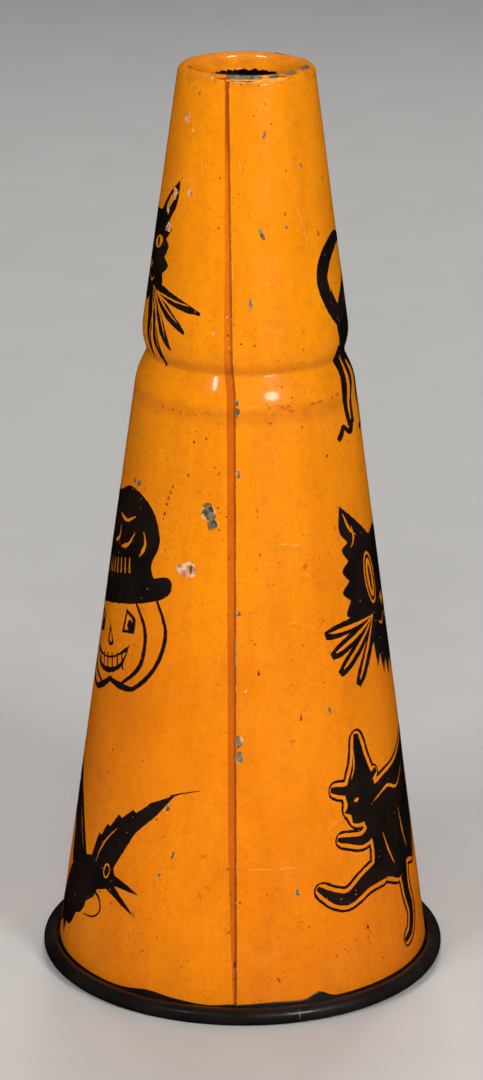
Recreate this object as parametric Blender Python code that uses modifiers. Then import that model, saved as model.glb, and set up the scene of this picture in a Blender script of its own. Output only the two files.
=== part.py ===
"""A tin blow horn that stands on its bell: one rolled tinplate sheet, curled over
a wire at the bell, with a reed unit held above its waist groove.

Metres, +Z up. The horn's axis is Z, its bell stands on z = 0, and the lap seam is
at the front, towards -Y. Only the reed's tongue moves: it bends about the line
where its rivets let it go.
"""

import math

import bmesh
import bpy
from mathutils import Vector

MM = 0.001

# The sheet. Its printed face is the outer one, and its thickness goes inwards.
HEIGHT = 150 * MM
SHEET = 0.3 * MM
CONE_BASE_RADIUS = 31.1 * MM
CONE_SLOPE = 0.136
TURN_STEPS = 48
ROUND_STEPS = 16
ARC_STEPS = 4

# The lap seam: the sheet's right edge lies over its left one.
SEAM_ANGLE = math.radians(-97.5)
LAP_GAP = 0.2 * MM
LAP_ANGLE = math.radians(5)
LAP_SHARES = (1.0, 1.0, 0.5)
BUTT_GAP = 0.35 * MM

# The mouth: a rolled lip and a rounded flange that dips to the hole blown into.
LIP_RADIUS = 1.3 * MM
MOUTH_RADIUS = 5.9 * MM
FLANGE_ROUND = 5.5 * MM
FLANGE_DIP = math.radians(10)

# The waist groove: a sharp crease between a round bulge and a round shoulder.
CREASE_RADIUS = 15.7 * MM
CREASE_Z = 103.9 * MM
BULGE_Z = 106.7 * MM
BULGE_ROUND = 8.0 * MM
SHOULDER_Z = 100.1 * MM
SHOULDER_ROUND = 11.0 * MM

# The bell's curl, rolled outwards round its wire.
CURL_RADIUS = 1.4 * MM
CURL_END = math.radians(488)
CURL_FLAT = math.radians(11)
WIRE_RADIUS = 0.75 * MM
WIRE_SPLIT = math.radians(2)

# The reed unit. Faces that touch on the real horn are this far apart.
CLEAR = 0.3 * MM
DISC_Z = 105.3 * MM
DISC_RADIUS = 15.5 * MM
DISC_SHEET = 0.5 * MM
DISC_FLANGE = 1.6 * MM
DISC_ROUND = 0.5 * MM
PLATE_SIZE = (9.0 * MM, 24.0 * MM, 1.0 * MM)
PLATE_RIVET_Y = 10.5 * MM
SLOT_SIZE = (6.4 * MM, 14.6 * MM)
SLOT_Y = 1.5 * MM
WINDOW_WIDTH = 6.0 * MM
WINDOW_Y = (-8.6 * MM, 8.6 * MM)
TONGUE_WIDTH = 5.6 * MM
TONGUE_SHEET = 0.3 * MM
TONGUE_LIFT = 0.45 * MM
TONGUE_ROOT = 3.4 * MM
SLOT_CLEAR = 0.4 * MM
TONGUE_RIVET_X = 1.5 * MM
RIVET_SHANK = 0.55 * MM
RIVET_HEAD = 1.0 * MM
RIVET_DOME = 0.45 * MM
RIVET_EDGE = 0.4
RIVET_SHOULDER = (0.6, 0.85)
TONGUE_SPRING = 0.15 * MM

# A cutter is this tall, which is well past the flat pieces that it cuts.
CUT_HEIGHT = 3.0 * MM

DISC_TOP = DISC_Z + DISC_SHEET
PLATE_Z = DISC_TOP + CLEAR
PLATE_TOP = PLATE_Z + PLATE_SIZE[2]
TONGUE_Z = PLATE_TOP + TONGUE_LIFT
TONGUE_TOP = TONGUE_Z + TONGUE_SHEET
HINGE_Y = SLOT_Y - SLOT_SIZE[1] / 2 + SLOT_CLEAR
TONGUE_BACK_Y = HINGE_Y - TONGUE_ROOT
TONGUE_TIP_Y = SLOT_Y + SLOT_SIZE[1] / 2 - SLOT_CLEAR
TONGUE_RIVET_Y = HINGE_Y - TONGUE_ROOT / 2
RIVET_HOLE = RIVET_SHANK + CLEAR


def clear_scene():
    for obj in list(bpy.data.objects):
        bpy.data.objects.remove(obj, do_unlink=True)


def new_collection(name, hidden=False):
    collection = bpy.data.collections.new(name)
    bpy.context.scene.collection.children.link(collection)
    collection.hide_render = hidden
    return collection


def material(name, color, roughness, metallic):
    made = bpy.data.materials.new(name)
    made.use_nodes = True
    shader = made.node_tree.nodes["Principled BSDF"]
    shader.inputs["Base Color"].default_value = (*color, 1)
    shader.inputs["Roughness"].default_value = roughness
    shader.inputs["Metallic"].default_value = metallic
    return made


def add_object(name, mesh, collection, look=None, smooth_angle=35):
    obj = bpy.data.objects.new(name, mesh)
    collection.objects.link(obj)
    if look:
        mesh.materials.append(look)
        mesh.shade_smooth()
        mesh.set_sharp_from_angle(angle=math.radians(smooth_angle))
    return obj


def add_cut(obj, cutter):
    cut = obj.modifiers.new("cut_" + cutter.name, "BOOLEAN")
    cut.operation = "DIFFERENCE"
    cut.solver = "EXACT"
    cut.object = cutter


def box_mesh(name, size, centre):
    bm = bmesh.new()
    bmesh.ops.create_cube(bm, size=1)
    bmesh.ops.scale(bm, vec=size, verts=bm.verts)
    bmesh.ops.translate(bm, vec=centre, verts=bm.verts)
    mesh = bpy.data.meshes.new(name)
    bm.to_mesh(mesh)
    bm.free()
    return mesh


def box_cutter(name, size, centre, collection):
    cutter = add_object(name, box_mesh(name, size, centre), collection)
    cutter.hide_render = True
    cutter.display_type = "WIRE"
    return cutter


def round_cutter(name, radius, centre, collection):
    bm = bmesh.new()
    bmesh.ops.create_cone(
        bm,
        cap_ends=True,
        segments=ROUND_STEPS,
        radius1=radius,
        radius2=radius,
        depth=CUT_HEIGHT,
    )
    bmesh.ops.translate(bm, vec=centre, verts=bm.verts)
    mesh = bpy.data.meshes.new(name)
    bm.to_mesh(mesh)
    bm.free()
    cutter = add_object(name, mesh, collection)
    cutter.hide_render = True
    cutter.display_type = "WIRE"
    return cutter


def turned(name, profile, steps, collection, look):
    """A profile of (radius, height), run down its outer side, turned about Z."""
    bm = bmesh.new()
    points = [bm.verts.new((radius, 0, height)) for radius, height in profile]
    for first, second in zip(points, points[1:]):
        bm.edges.new((first, second))
    mesh = bpy.data.meshes.new(name)
    bm.to_mesh(mesh)
    bm.free()
    obj = add_object(name, mesh, collection)
    mesh.materials.append(look)
    screw = obj.modifiers.new("turn", "SCREW")
    screw.axis = "Z"
    screw.steps = steps
    screw.render_steps = steps
    screw.use_merge_vertices = True
    screw.merge_threshold = 0.01 * MM
    screw.use_smooth_shade = True
    return obj


def cone_radius(z):
    return CONE_BASE_RADIUS - CONE_SLOPE * z


def cone_normal():
    return Vector((1, CONE_SLOPE)).normalized()


def arc(centre, radius, start, end, steps):
    angles = [start + (end - start) * i / steps for i in range(steps + 1)]
    return [centre + radius * Vector((math.cos(a), math.sin(a))) for a in angles]


def fillet(before, corner, after, radius, steps):
    """The arc that rounds a corner of a profile, from one leg to the other."""
    to_before = (before - corner).normalized()
    to_after = (after - corner).normalized()
    half = to_before.angle(to_after) / 2
    middle = (to_before + to_after).normalized()
    centre = corner + middle * radius / math.sin(half)
    start = corner + to_before * radius / math.tan(half) - centre
    end = corner + to_after * radius / math.tan(half) - centre
    start_angle = math.atan2(start.y, start.x)
    turn = math.remainder(math.atan2(end.y, end.x) - start_angle, math.tau)
    return arc(centre, radius, start_angle, start_angle + turn, steps)


def mouth_profile():
    """The flange, from the hole's edge, and the lip, ending on the cone."""
    centre_z = HEIGHT - LIP_RADIUS
    centre_r = cone_radius(centre_z) - LIP_RADIUS / cone_normal().x
    centre = Vector((centre_r, centre_z))
    crest = math.pi / 2
    inner = arc(centre, LIP_RADIUS, crest + FLANGE_DIP, crest, ARC_STEPS // 2)
    outer = arc(centre, LIP_RADIUS, crest, math.atan(CONE_SLOPE), ARC_STEPS)
    lip = inner + outer[1:]
    start = crest + FLANGE_DIP
    top = Vector((math.cos(start), math.sin(start)))
    flange_centre = lip[0] - FLANGE_ROUND * top
    end = math.acos((MOUTH_RADIUS - flange_centre.x) / FLANGE_ROUND)
    flange = arc(flange_centre, FLANGE_ROUND, end, start, ARC_STEPS)
    return flange[:-1] + lip


def waist_profile():
    bulge = Vector((cone_radius(BULGE_Z), BULGE_Z))
    above = Vector((cone_radius(HEIGHT), HEIGHT))
    crease = Vector((CREASE_RADIUS, CREASE_Z))
    shoulder = Vector((cone_radius(SHOULDER_Z), SHOULDER_Z))
    below = Vector((cone_radius(0), 0))
    return [
        *fillet(above, bulge, crease, BULGE_ROUND, ARC_STEPS),
        crease,
        *fillet(crease, shoulder, below, SHOULDER_ROUND, ARC_STEPS),
    ]


def curl_centre():
    inside = CURL_RADIUS - SHEET
    z = SHEET + inside * math.cos(CURL_FLAT)
    return Vector((cone_radius(z) + inside / cone_normal().x, z))


def curl_profile():
    """From the cone, under the wire, up its outer side and over it."""
    start = math.pi + math.atan(CONE_SLOPE)
    flat_in = 3 * math.pi / 2 - CURL_FLAT
    flat_out = 3 * math.pi / 2 + CURL_FLAT
    radius = CURL_RADIUS - SHEET
    centre = curl_centre()
    inner = arc(centre, radius, start, flat_in, ARC_STEPS - 1)
    outer = arc(centre, radius, flat_out, CURL_END, 2 * ARC_STEPS)
    return inner + outer


def straight(first, last, steps):
    """The points between two ends of a straight run, without the ends."""
    return [first.lerp(last, i / steps) for i in range(1, steps)]


def sheet_rows():
    """Each row is its radius, its height and whether the sheet laps there."""
    mouth = mouth_profile()
    waist = waist_profile()
    curl = curl_profile()
    upper = straight(mouth[-1], waist[0], 3)
    lower = straight(waist[-1], curl[0], 5)
    rows = [(point, False) for point in mouth]
    rows += [(point, True) for point in upper + waist + lower]
    rows += [(point, False) for point in curl]
    return rows


def lap_lift(step):
    """How far the over-lapping edge stands off: all of it, then eased down."""
    share = LAP_SHARES[step] if step < len(LAP_SHARES) else 0.0
    return (SHEET + LAP_GAP) * share


def make_horn_shell(collection):
    """The one sheet, from its over-lapping edge round to its under-lapping one."""
    bm = bmesh.new()
    grid = []
    for point, laps in sheet_rows():
        row = []
        for step in range(TURN_STEPS + 1):
            turn = math.tau * step / TURN_STEPS
            if step == TURN_STEPS and not laps:
                turn -= BUTT_GAP / point.x
            radius = point.x + (lap_lift(step) if laps else 0)
            row.append((radius, SEAM_ANGLE + turn))
        if laps:
            row.append((point.x, SEAM_ANGLE + math.tau + LAP_ANGLE))
        grid.append(
            [
                bm.verts.new((r * math.cos(a), r * math.sin(a), point.y))
                for r, a in row
            ]
        )
    for upper, lower in zip(grid, grid[1:]):
        for i in range(min(len(upper), len(lower)) - 1):
            bm.faces.new((upper[i], lower[i], lower[i + 1], upper[i + 1]))
    mesh = bpy.data.meshes.new("horn_shell")
    bm.to_mesh(mesh)
    bm.free()
    look = material("orange_tinplate", (0.9, 0.27, 0.01), 0.3, 0.0)
    shell = add_object("horn_shell", mesh, collection, look, smooth_angle=40)
    thickness = shell.modifiers.new("sheet", "SOLIDIFY")
    thickness.thickness = SHEET
    thickness.offset = -1
    thickness.use_even_offset = True
    return shell


def make_rim_wire(collection):
    curve = bpy.data.curves.new("rim_wire", "CURVE")
    curve.dimensions = "3D"
    curve.bevel_depth = WIRE_RADIUS
    curve.bevel_resolution = 2
    curve.use_fill_caps = True
    spline = curve.splines.new("POLY")
    spline.points.add(TURN_STEPS)
    centre = curl_centre()
    for step, point in enumerate(spline.points):
        share = step / TURN_STEPS
        angle = SEAM_ANGLE + WIRE_SPLIT / 2 + share * (math.tau - WIRE_SPLIT)
        point.co = (centre.x * math.cos(angle), centre.x * math.sin(angle), centre.y, 1)
    curve.materials.append(material("steel_wire", (0.35, 0.34, 0.33), 0.45, 1.0))
    wire = bpy.data.objects.new("rim_wire", curve)
    collection.objects.link(wire)
    return wire


def make_reed_disc(collection, cutters):
    """A tinplate disc with an upturned edge, which closes the horn at its waist."""
    profile = [
        (0, DISC_TOP),
        (DISC_RADIUS - DISC_SHEET - DISC_ROUND, DISC_TOP),
        (DISC_RADIUS - DISC_SHEET, DISC_TOP + DISC_ROUND),
        (DISC_RADIUS - DISC_SHEET, DISC_Z + DISC_FLANGE),
        (DISC_RADIUS, DISC_Z + DISC_FLANGE),
        (DISC_RADIUS, DISC_Z + DISC_ROUND),
        (DISC_RADIUS - DISC_ROUND, DISC_Z),
        (0, DISC_Z),
    ]
    look = material("tinplate", (0.55, 0.54, 0.5), 0.35, 1.0)
    disc = turned("reed_disc", profile, TURN_STEPS, collection, look)
    front, back = WINDOW_Y
    window = (WINDOW_WIDTH, back - front, CUT_HEIGHT)
    middle = (0, (front + back) / 2, DISC_Z + DISC_SHEET / 2)
    add_cut(disc, box_cutter("disc_window", window, middle, cutters))
    for side, y in (("front", -PLATE_RIVET_Y), ("back", PLATE_RIVET_Y)):
        place = (0, y, DISC_Z)
        hole = round_cutter(f"disc_hole_{side}", RIVET_HOLE, place, cutters)
        add_cut(disc, hole)
    return disc


def make_reed_plate(collection, cutters, brass):
    """The brass plate that the tongue swings through."""
    middle_z = (PLATE_Z + PLATE_TOP) / 2
    mesh = box_mesh("reed_plate", PLATE_SIZE, (0, 0, middle_z))
    plate = add_object("reed_plate", mesh, collection, brass)
    slot_middle = (0, SLOT_Y, middle_z)
    slot = box_cutter("plate_slot", (*SLOT_SIZE, CUT_HEIGHT), slot_middle, cutters)
    add_cut(plate, slot)
    holes = {
        "front": (0, -PLATE_RIVET_Y),
        "back": (0, PLATE_RIVET_Y),
        "left": (-TONGUE_RIVET_X, TONGUE_RIVET_Y),
        "right": (TONGUE_RIVET_X, TONGUE_RIVET_Y),
    }
    for side, (x, y) in holes.items():
        place = (x, y, middle_z)
        hole = round_cutter(f"plate_hole_{side}", RIVET_HOLE, place, cutters)
        add_cut(plate, hole)
    return plate


def make_reed_tongue(collection, cutters, brass):
    """The springy tongue. Its origin is on the line that it bends about."""
    pivot = Vector((0, HINGE_Y, TONGUE_Z + TONGUE_SHEET / 2))
    middle = Vector((0, (TONGUE_BACK_Y + TONGUE_TIP_Y) / 2, pivot.z)) - pivot
    size = (TONGUE_WIDTH, TONGUE_TIP_Y - TONGUE_BACK_Y, TONGUE_SHEET)
    mesh = box_mesh("reed_tongue", size, middle)
    tongue = add_object("reed_tongue", mesh, collection, brass)
    tongue.location = pivot
    for side, x in (("left", -TONGUE_RIVET_X), ("right", TONGUE_RIVET_X)):
        place = (x, TONGUE_RIVET_Y, pivot.z)
        hole = round_cutter(f"tongue_hole_{side}", RIVET_HOLE, place, cutters)
        add_cut(tongue, hole)
    return tongue


def make_rivet(name, x, y, bottom, top, collection, brass):
    """A shank between two domed heads, which clear the pieces between them."""
    flat_top = top + CLEAR
    flat_bottom = bottom - CLEAR
    edge = RIVET_DOME * RIVET_EDGE
    shoulder = RIVET_HEAD * RIVET_SHOULDER[0]
    rise = RIVET_DOME * RIVET_SHOULDER[1]
    profile = [
        (0, flat_top + RIVET_DOME),
        (shoulder, flat_top + rise),
        (RIVET_HEAD, flat_top + edge),
        (RIVET_HEAD, flat_top),
        (RIVET_SHANK, flat_top),
        (RIVET_SHANK, flat_bottom),
        (RIVET_HEAD, flat_bottom),
        (RIVET_HEAD, flat_bottom - edge),
        (shoulder, flat_bottom - rise),
        (0, flat_bottom - RIVET_DOME),
    ]
    rivet = turned(name, profile, ROUND_STEPS, collection, brass)
    rivet.location = (x, y, 0)
    return rivet


def main():
    clear_scene()
    bpy.context.scene.unit_settings.scale_length = 1
    horn = new_collection("tin_blow_horn")
    cutters = new_collection("cutters", hidden=True)
    brass = material("brass", (0.72, 0.5, 0.18), 0.35, 1.0)
    make_horn_shell(horn)
    make_rim_wire(horn)
    make_reed_disc(horn, cutters)
    make_reed_plate(horn, cutters, brass)
    make_reed_tongue(horn, cutters, brass)
    for side, x in (("left", -TONGUE_RIVET_X), ("right", TONGUE_RIVET_X)):
        name = f"tongue_rivet_{side}"
        top = TONGUE_TOP + TONGUE_SPRING
        make_rivet(name, x, TONGUE_RIVET_Y, PLATE_Z, top, horn, brass)
    for side, y in (("front", -PLATE_RIVET_Y), ("back", PLATE_RIVET_Y)):
        make_rivet(f"plate_rivet_{side}", 0, y, DISC_Z, PLATE_TOP, horn, brass)


main()
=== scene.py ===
"""The looks of a lithographed tin blow horn that stands on its bell.

Lengths are millimetres until a mesh is made, and MM turns them into metres. A place on
the sheet is an azimuth round the horn (0 towards +X, -90 degrees towards the camera)
and a height. A printed picture is drawn flat, in millimetres across and up, then
wrapped round the sheet.
"""

import math

import bpy
import numpy as np
from mathutils import Matrix, Vector, geometry, noise


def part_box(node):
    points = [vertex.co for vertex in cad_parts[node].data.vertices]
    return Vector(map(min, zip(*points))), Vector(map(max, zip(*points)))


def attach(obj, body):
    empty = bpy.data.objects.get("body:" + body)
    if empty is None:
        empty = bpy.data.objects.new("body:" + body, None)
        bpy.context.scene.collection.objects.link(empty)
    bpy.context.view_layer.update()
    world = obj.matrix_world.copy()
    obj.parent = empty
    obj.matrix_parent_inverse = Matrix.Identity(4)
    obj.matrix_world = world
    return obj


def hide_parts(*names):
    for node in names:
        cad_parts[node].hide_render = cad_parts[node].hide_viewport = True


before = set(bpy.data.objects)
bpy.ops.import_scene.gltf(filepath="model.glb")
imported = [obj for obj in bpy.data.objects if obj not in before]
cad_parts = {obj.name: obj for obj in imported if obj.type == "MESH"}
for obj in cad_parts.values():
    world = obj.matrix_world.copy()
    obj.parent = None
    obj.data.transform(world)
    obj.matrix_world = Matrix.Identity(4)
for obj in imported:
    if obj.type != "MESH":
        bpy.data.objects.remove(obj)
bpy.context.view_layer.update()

MM = 0.001

# Without a seed, Blender draws the noise that roughens outlines from the clock.
OUTLINE_SEED = 1
noise.seed_set(OUTLINE_SEED)

# The sheet, as the CAD has it.
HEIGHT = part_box("horn_shell")[1].z / MM
SHEET = 0.3
CONE_BASE_RADIUS = 31.1
CONE_SLOPE = 0.136
LIP_RADIUS = 1.3
MOUTH_RADIUS = 5.9
FLANGE_ROUND = 5.5
FLANGE_DIP = math.radians(10)
CREASE = (15.7, 103.9)
BULGE_Z = 106.7
BULGE_ROUND = 8.0
SHOULDER_Z = 100.1
SHOULDER_ROUND = 11.0
CURL_RADIUS = 1.4
CURL_FLAT = math.radians(11)
CURL_END = math.radians(488)

# The crease is sharp in the CAD and a little rounded here.
CREASE_ROUND = 0.8

# The lap seam: how far left of the front its edge lies, and how wide the darker band
# beside it is, by height. The upper sheet stands off the lower one at its edge and
# eases down, and the lower one runs on under it.
SEAM_OFFSET = ((0, 1.0), (101, 1.55), (106, 2.05), (150, 2.75))
BAND_WIDTH = ((0, 0.35), (12, 0.8), (30, 1.25), (105, 1.35), (120, 1.0), (150, 0.6))
LAP_LIFT = 0.34
LAP_EASE = 10.0
LAP_UNDER = math.radians(6)
EDGE_STRIP = 0.15
BUTT_GAP = 0.12

# The black enamel that the bell's bead was dipped in.
ENAMEL = 0.04
ENAMEL_EDGE = 2.75

# Paint and ink stand this far off the sheet, and reach this far into it.
INK_FILM = 0.03
CHIP_FILM = 0.045
SMUDGE_FILM = 0.015
ROOTED = -0.05

# How finely the meshes are cut: columns round the sheet, with the first few close
# together next to the seam, columns round the enamel, and rows of the mouth's flange.
SHEET_COLUMNS = 200
SEAM_COLUMNS = (0.0, EDGE_STRIP, 0.6, 1.2, 2.0, 3.0, 4.2)
ENAMEL_COLUMNS = 240
FLANGE_ROWS = 12
WALL_PITCH = 1.7
WAIST_PITCH = 0.4

# A drawn shape is ink laid on, or a gap cut in the ink under it.
INK = 1
GAP = -1

# Where the sheet is grimy, in metres up: a zone's rise and its fall. In the groove and at the shoulder's
# lower edge the darkening is also painted shade.
GROOVE_GRIME_AND_SHADE = (0.1033, 0.1040, 0.1042, 0.1060)
SHOULDER_GRIME_AND_SHADE = (0.0955, 0.0975, 0.0980, 0.0995)
FOOT_GRIME = (0.003, 0.016)
LIP_GRIME = (0.1478, 0.1488)

# The printed orange, then the band by the seam: light, deep, dirty and pale. The dirty colour also paints
# shade in the groove and at the shoulder's lower edge.
ORANGE = ((0.94, 0.26, 0.002), (0.86, 0.208, 0.001), (0.34, 0.07, 0.005), (0.94, 0.34, 0.04))
# A lighter orange that the sheet nears with height: painted light towards the top.
ORANGE_PAINTED_TOP_LIGHT = (0.96, 0.32, 0.003)
BAND = ((0.68, 0.138, 0.003), (0.58, 0.112, 0.002), (0.20, 0.04, 0.004), (0.72, 0.20, 0.02))
BAND_UPPER = (0.80, 0.182, 0.003)
BAND_TOP = (0.50, 0.10, 0.003)
SPECK_BROWN = (0.13, 0.024, 0.01)

# The camera, in metres and degrees, and the stage.
CAMERA_LENS = 126.73
CAMERA_PLACE = (-0.00046, -0.58763, 0.26689)
CAMERA_DOWN = 18.396
CAMERA_ROLL = 0.25
FLOOR_REACH = 6.0
FLOOR_GAP = 0.00002
LAMP_COLOR = (1.0, 0.975, 0.94)
WORLD_COLOR = (0.92, 0.95, 1.0, 1)
WORLD_STRENGTH = 0.17


# ---------------------------------------------------------------- the sheet's shape


def cone_radius(z):
    return CONE_BASE_RADIUS - CONE_SLOPE * z


def cone_normal():
    return Vector((1, CONE_SLOPE)).normalized()


def arc(centre, radius, start, end, steps):
    angles = [start + (end - start) * i / steps for i in range(steps + 1)]
    return [centre + radius * Vector((math.cos(a), math.sin(a))) for a in angles]


def fillet(before, corner, after, radius, steps):
    to_before = (before - corner).normalized()
    to_after = (after - corner).normalized()
    half = to_before.angle(to_after) / 2
    centre = corner + (to_before + to_after).normalized() * radius / math.sin(half)
    start = corner + to_before * radius / math.tan(half) - centre
    end = corner + to_after * radius / math.tan(half) - centre
    first = math.atan2(start.y, start.x)
    turn = math.remainder(math.atan2(end.y, end.x) - first, math.tau)
    return arc(centre, radius, first, first + turn, steps)


def straight(first, last, pitch):
    """The points between two ends of a straight run, without the ends."""
    steps = max(2, round((last - first).length / pitch))
    return [first.lerp(last, i / steps) for i in range(1, steps)]


def lip_profile(steps_in=3, steps_out=7):
    centre_z = HEIGHT - LIP_RADIUS
    centre = Vector((cone_radius(centre_z) - LIP_RADIUS / cone_normal().x, centre_z))
    crest = math.pi / 2
    inner = arc(centre, LIP_RADIUS, crest + FLANGE_DIP, crest, steps_in)
    outer = arc(centre, LIP_RADIUS, crest, math.atan(CONE_SLOPE), steps_out)
    return inner + outer[1:]


def waist_profile():
    bulge = Vector((cone_radius(BULGE_Z), BULGE_Z))
    crease = Vector(CREASE)
    shoulder = Vector((cone_radius(SHOULDER_Z), SHOULDER_Z))
    above = Vector((cone_radius(HEIGHT), HEIGHT))
    below = Vector((cone_radius(0), 0))
    bend = fillet(above, bulge, crease, BULGE_ROUND, 12)
    swell = fillet(crease, shoulder, below, SHOULDER_ROUND, 16)
    crease = fillet(bulge, crease, shoulder, CREASE_ROUND, 6)
    upper = straight(bend[-1], crease[0], WAIST_PITCH)
    lower = straight(crease[-1], swell[0], WAIST_PITCH)
    return [*bend, *upper, *crease, *lower, *swell]


def curl_centre():
    inside = CURL_RADIUS - SHEET
    z = SHEET + inside * math.cos(CURL_FLAT)
    return Vector((cone_radius(z) + inside / cone_normal().x, z))


def curl_profile(radius, steps=(5, 16)):
    centre = curl_centre()
    start = math.pi + math.atan(CONE_SLOPE)
    bottom = 3 * math.pi / 2
    inner = arc(centre, radius, start, bottom - CURL_FLAT, steps[0])
    outer = arc(centre, radius, bottom + CURL_FLAT, CURL_END, steps[1])
    return inner + outer


LIP = lip_profile()
WAIST = waist_profile()
CURL = curl_profile(CURL_RADIUS - SHEET)[:1] + curl_profile(CURL_RADIUS - SHEET - ENAMEL)[1:]
# The row just under the lip keeps the lip's shading off the cone.
WALL = [
    LIP[-1],
    LIP[-1].lerp(WAIST[0], 0.006),
    *straight(LIP[-1], WAIST[0], WALL_PITCH),
    *WAIST,
    *straight(WAIST[-1], CURL[0], WALL_PITCH),
    CURL[0],
]
WALL_Z = np.array([p.y for p in reversed(WALL)])
WALL_R = np.array([p.x for p in reversed(WALL)])


def by_height(table, z):
    return float(np.interp(z, [row[0] for row in table], [row[1] for row in table]))


def eased(share):
    share = min(1.0, max(0.0, share))
    return share * share * (3 - 2 * share)


def wall_radius(z):
    return float(np.interp(z, WALL_Z, WALL_R))


def seam_angle(z):
    return -math.pi / 2 - math.asin(by_height(SEAM_OFFSET, z) / max(9.0, wall_radius(z)))


def lap_lift(azimuth, z):
    """How far the upper sheet stands off the lower one, right of the seam."""
    past = (azimuth - seam_angle(z)) % math.tau * wall_radius(z)
    return LAP_LIFT * (1 - eased(past / LAP_EASE))


def dent(azimuth, z):
    """The slight unevenness of hand-worked tin, nothing at the two rims."""
    place = Vector((2.2 * math.cos(azimuth), 2.2 * math.sin(azimuth), z / 17))
    fade = eased((z - 4) / 14) * eased((HEIGHT - 3 - z) / 12)
    return 0.07 * noise.noise(place) * fade


def wall_slope(z):
    """The wall's outward normal, as its share along the radius and along Z."""
    rise = 0.05
    tilt = (wall_radius(z - rise) - wall_radius(z + rise)) / (2 * rise)
    return Vector((1, tilt)).normalized()


def polar(radius, azimuth, z):
    return (
        radius * math.cos(azimuth) * MM,
        radius * math.sin(azimuth) * MM,
        z * MM,
    )


def wall_point(azimuth, z, out=0.0):
    normal = wall_slope(z)
    radius = wall_radius(z) + lap_lift(azimuth, z) + dent(azimuth, z)
    return polar(radius + out * normal.x, azimuth, z + out * normal.y)


# ---------------------------------------------------------------- meshes


def new_object(name, points, faces, looks, face_looks=None, smooth_angle=40):
    mesh = bpy.data.meshes.new(name)
    mesh.from_pydata(points, [], faces)
    for look in looks:
        mesh.materials.append(look)
    if face_looks:
        mesh.polygons.foreach_set("material_index", face_looks)
    mesh.shade_smooth()
    mesh.set_sharp_from_angle(angle=math.radians(smooth_angle))
    obj = bpy.data.objects.new(name, mesh)
    bpy.context.scene.collection.objects.link(obj)
    return obj


def add_thickness(obj, thickness, inner_look=0, edge_look=0):
    modifier = obj.modifiers.new("sheet", "SOLIDIFY")
    modifier.thickness = thickness * MM
    modifier.offset = -1
    modifier.use_even_offset = True
    modifier.material_offset = inner_look
    modifier.material_offset_rim = edge_look


def ragged(azimuth):
    """How far the torn edge of the mouth's hole runs back into the flange."""
    place = Vector((9 * math.cos(azimuth), 9 * math.sin(azimuth), 3.7))
    fine = noise.noise(place * 2.3)
    return 0.16 * noise.noise(place) + 0.1 * fine + 0.35 * max(0.0, fine - 0.25)


def flange_height(radius):
    """The height of the rounded flange that dips from the lip to the mouth's hole."""
    start = math.pi / 2 + FLANGE_DIP
    centre = LIP[0] - FLANGE_ROUND * Vector((math.cos(start), math.sin(start)))
    return centre.y + math.sqrt(FLANGE_ROUND**2 - (radius - centre.x) ** 2)


def flange_rows():
    """The flange, from the hole's edge to the lip: its radius and share of raggedness."""
    run = LIP[0].x - MOUTH_RADIUS
    shares = [i / FLANGE_ROWS for i in range(FLANGE_ROWS)]
    return [(MOUTH_RADIUS + run * share, (1 - share) ** 3) for share in shares]


def column_angles(z, radius, laps):
    """The azimuths of one row, from the upper sheet's edge round to the lower one's."""
    start = seam_angle(z)
    end = start + math.tau
    if not laps:
        end -= BUTT_GAP / radius
    first = [start + step / radius for step in SEAM_COLUMNS]
    band = end - by_height(BAND_WIDTH, z) / radius
    turn = band - first[-1]
    middle = [first[-1] + turn * i / SHEET_COLUMNS for i in range(1, SHEET_COLUMNS + 1)]
    angles = first + middle + [end]
    if laps:
        angles.append(end + LAP_UNDER)
    return angles


def sheet_rows():
    """Each row's place in the profile, its raggedness and whether the sheet laps there."""
    rows = [(Vector((radius, HEIGHT)), rag, False) for radius, rag in flange_rows()]
    rows += [(point, 0.0, False) for point in LIP[:-1]]
    rows += [(point, 0.0, True) for point in WALL]
    return rows + [(point, 0.0, False) for point in CURL[1:]]


def make_sheet(orange, band, edge, inside, cut):
    """The one sheet of tinplate that the whole horn is rolled from."""
    points = []
    grid = []
    for point, rag, laps in sheet_rows():
        row = []
        for azimuth in column_angles(point.y, point.x, laps):
            radius, z = point
            if laps:
                radius += dent(azimuth, z)
                if azimuth < seam_angle(z) + math.tau - 1e-6:
                    radius += lap_lift(azimuth, z)
            if rag:
                radius += rag * ragged(azimuth)
                z = flange_height(radius)
            row.append(len(points))
            points.append(polar(radius, azimuth, z))
        grid.append(row)
    band_column = len(SEAM_COLUMNS) + SHEET_COLUMNS - 1
    faces = []
    face_looks = []
    for upper, lower in zip(grid, grid[1:]):
        for i in range(min(len(upper), len(lower)) - 1):
            faces.append((upper[i], lower[i], lower[i + 1], upper[i + 1]))
            face_looks.append(2 if i == 0 else 1 if i >= band_column else 0)
    # Three looks for the printed face, then three for the inside and one for the cut.
    slots = [orange, band, edge, inside, inside, inside, cut]
    sheet = new_object("printed_tin_sheet", points, faces, slots, face_looks)
    add_thickness(sheet, SHEET, inner_look=3, edge_look=6)
    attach(sheet, "horn")
    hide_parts("horn_shell")


def enamel_edge(azimuth):
    """The height of the black enamel's wavy upper edge."""
    front = azimuth + math.pi / 2
    wave = 0.3 * noise.noise(Vector((1.9 * math.cos(azimuth), 1.9 * math.sin(azimuth), 8.1)))
    bump = 1.15 * math.exp(-(((front - math.radians(24)) / math.radians(3.2)) ** 2))
    swell = 0.45 * math.exp(-(((front - math.radians(9)) / math.radians(11)) ** 2))
    left = 0.7 * math.exp(-(((front + math.radians(30)) / math.radians(7)) ** 2))
    low = -0.35 * math.exp(-(((front + math.radians(11)) / math.radians(6)) ** 2))
    return ENAMEL_EDGE + wave + bump + swell + left + low


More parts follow.
